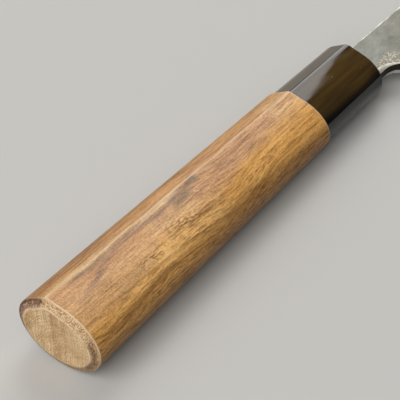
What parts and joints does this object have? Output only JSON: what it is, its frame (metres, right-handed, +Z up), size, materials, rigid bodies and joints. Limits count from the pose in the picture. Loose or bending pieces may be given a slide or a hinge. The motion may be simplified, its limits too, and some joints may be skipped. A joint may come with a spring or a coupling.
{
  "type": "yanagiba knife",
  "caption": "Right-handed yanagiba slicing knife: long single-bevel laminated blade, horn ferrule and ridged D-section walnut handle, lying on its left side.",
  "frame": {"origin": "bottom centre of the knife's box as it lies on its left side, edge and ferrule on the floor", "axes": "+X from the butt towards the tip, +Y towards the spine, +Z up out of the right-hand side"},
  "size_m": [0.4106, 0.0412, 0.0218],
  "materials": {
    "soft_iron": "satin, finely ground, slightly mottled",
    "hard_steel": "finely ground, brighter than the iron",
    "walnut": "satin, straight grain along the handle, rougher end grain at the butt",
    "horn": "polished, nearly black with a brown depth",
    "ho_wood": "plain, unfinished",
    "resin": "dark, satin"
  },
  "bodies": {
    "root": {"blade_jigane": "soft_iron", "blade_hagane": "hard_steel", "handle_body": "walnut", "ferrule": "horn", "dowel": "ho_wood", "neck_seal": "resin"}
  },
  "joints": []
}
